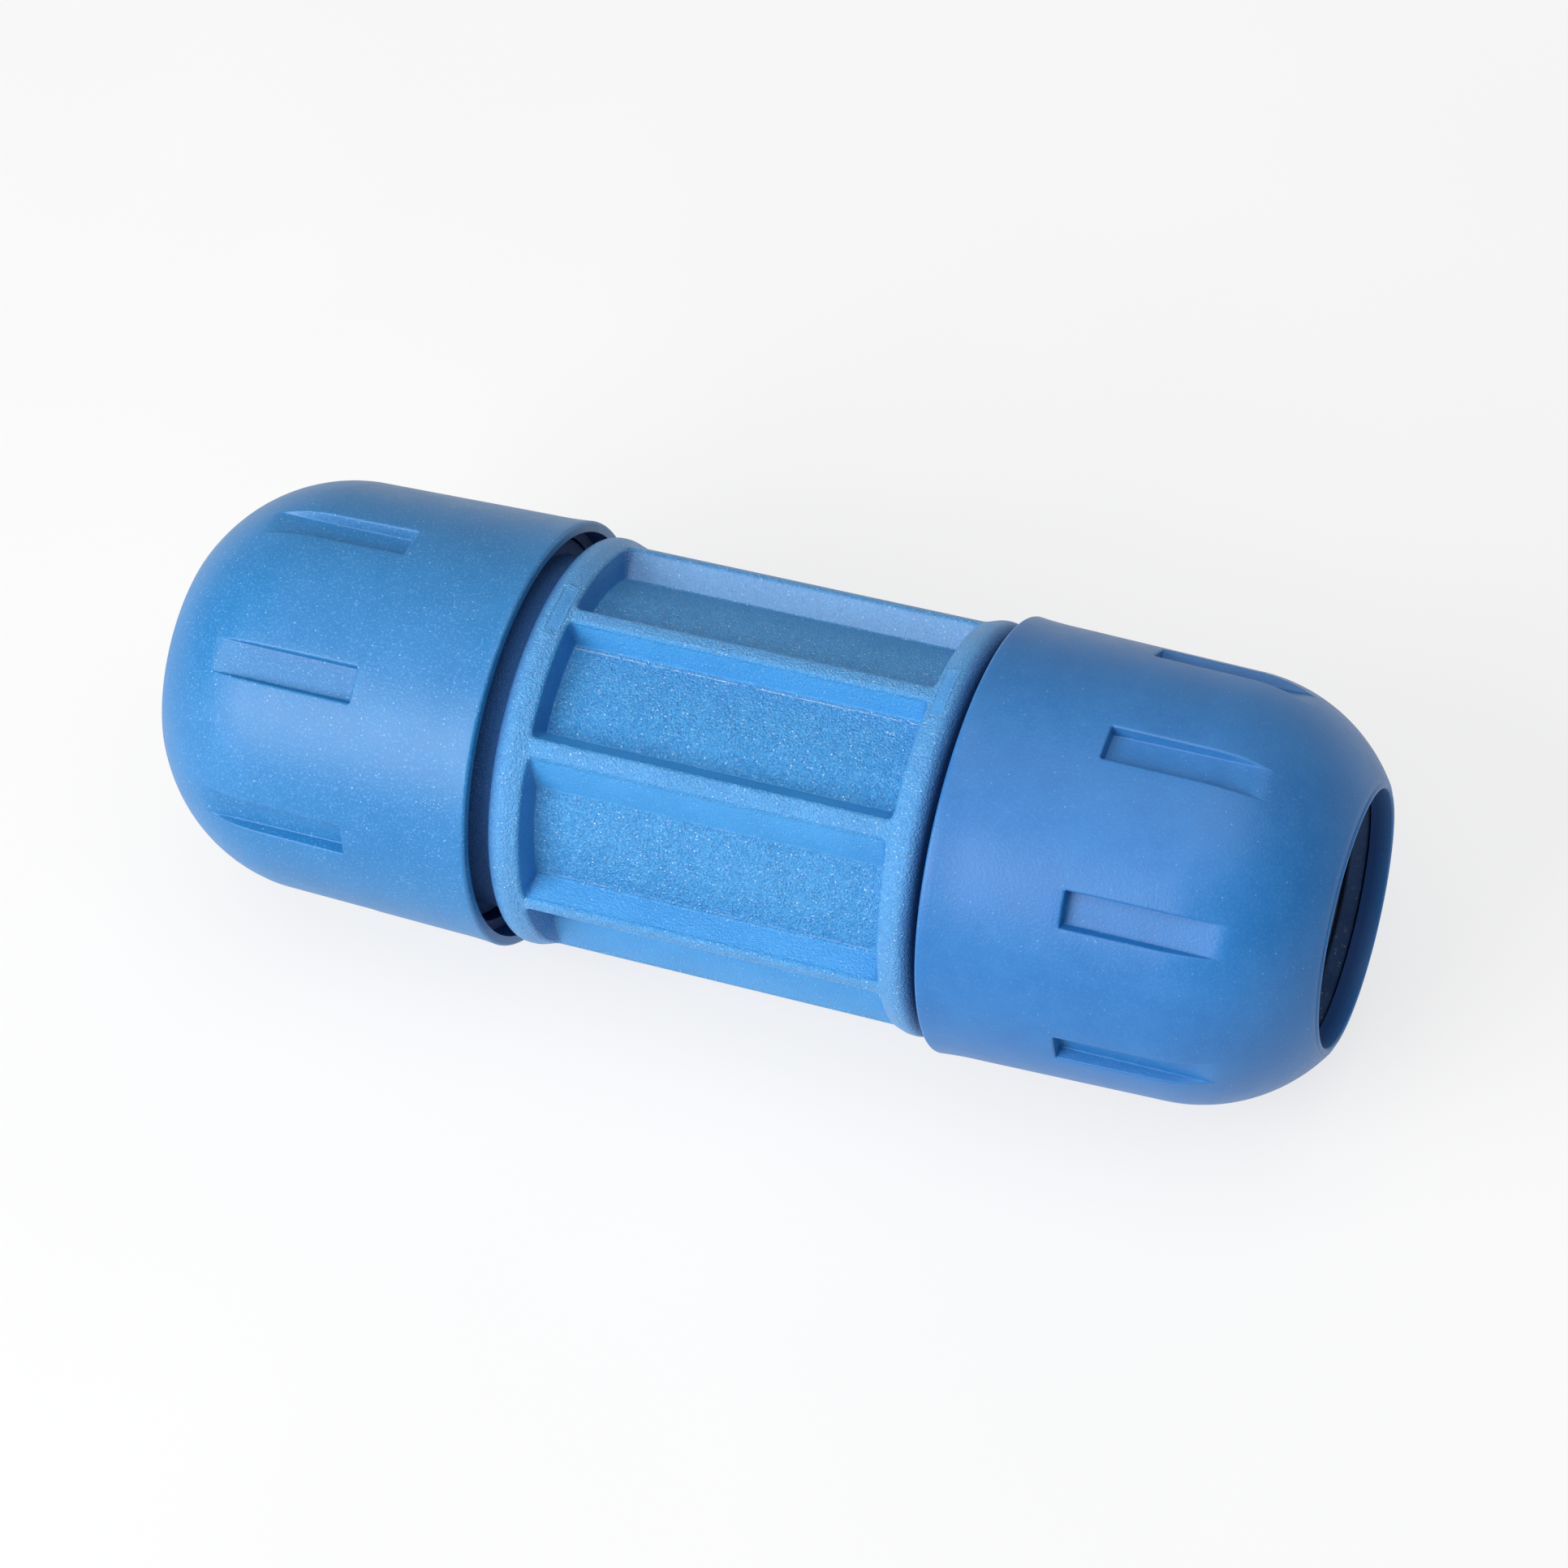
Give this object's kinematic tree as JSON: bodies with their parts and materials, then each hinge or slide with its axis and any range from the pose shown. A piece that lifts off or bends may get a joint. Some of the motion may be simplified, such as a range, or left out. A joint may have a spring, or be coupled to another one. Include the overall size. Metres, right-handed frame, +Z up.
{
  "type": "push fit coupling",
  "caption": "Straight push-fit pipe coupling: a ribbed moulded body with a domed screw cap on each threaded neck, and grip, spacer and seal rings inside.",
  "frame": {"origin": "centre of the coupling's bounding box, on the pipe axis midway between the two mouths", "axes": "+X along the pipe axis towards the right mouth, +Z up with the coupling lying down and one body rib at the top, +Y towards the back"},
  "size_m": [0.1566, 0.0566, 0.0566],
  "materials": {
    "moulded_blue": "rough moulded, finely speckled",
    "cap_blue": "satin moulded",
    "wiper_rubber": "matt",
    "seal_rubber": "matt, lightly greased",
    "collet_acetal": "satin",
    "spacer_plastic": "satin",
    "tooth_steel": "stamped"
  },
  "bodies": {
    "body": {"coupling_body": "moulded_blue", "left_spacer_ring": "spacer_plastic", "right_spacer_ring": "spacer_plastic", "left_o_ring": "seal_rubber", "right_o_ring": "seal_rubber"},
    "left_wiper": {"left_dust_wiper": "wiper_rubber"},
    "left_cap": {"left_cap": "cap_blue"},
    "left_collet": {"left_collet": "collet_acetal", "left_tooth_ring": "tooth_steel"},
    "right_wiper": {"right_dust_wiper": "wiper_rubber"},
    "right_cap": {"right_cap": "cap_blue"},
    "right_collet": {"right_collet": "collet_acetal", "right_tooth_ring": "tooth_steel"}
  },
  "joints": [
    {"name": "right_cap_advance", "type": "slide", "parent": "body", "child": "right_wiper", "axis": [1, 0, 0], "range_m": [0, 0.008]},
    {"name": "right_cap_turn", "type": "hinge", "parent": "right_wiper", "child": "right_cap", "pos_m": [0.04, 0, 0], "axis": [1, 0, 0], "range_deg": [0, 720]},
    {"name": "right_collet_float", "type": "slide", "parent": "right_wiper", "child": "right_collet", "axis": [-1, 0, 0], "range_m": [0, 0.0015]},
    {"name": "left_cap_advance", "type": "slide", "parent": "body", "child": "left_wiper", "axis": [-1, 0, 0], "range_m": [0, 0.008]},
    {"name": "left_cap_turn", "type": "hinge", "parent": "left_wiper", "child": "left_cap", "pos_m": [-0.04, 0, 0], "axis": [-1, 0, 0], "range_deg": [0, 720]},
    {"name": "left_collet_float", "type": "slide", "parent": "left_wiper", "child": "left_collet", "axis": [1, 0, 0], "range_m": [0, 0.0015]}
  ],
  "couplings": [
    {"joint": "right_cap_advance", "follows": "right_cap_turn", "m_per_rad": 0.00063662},
    {"joint": "left_cap_advance", "follows": "left_cap_turn", "m_per_rad": 0.00063662}
  ]
}
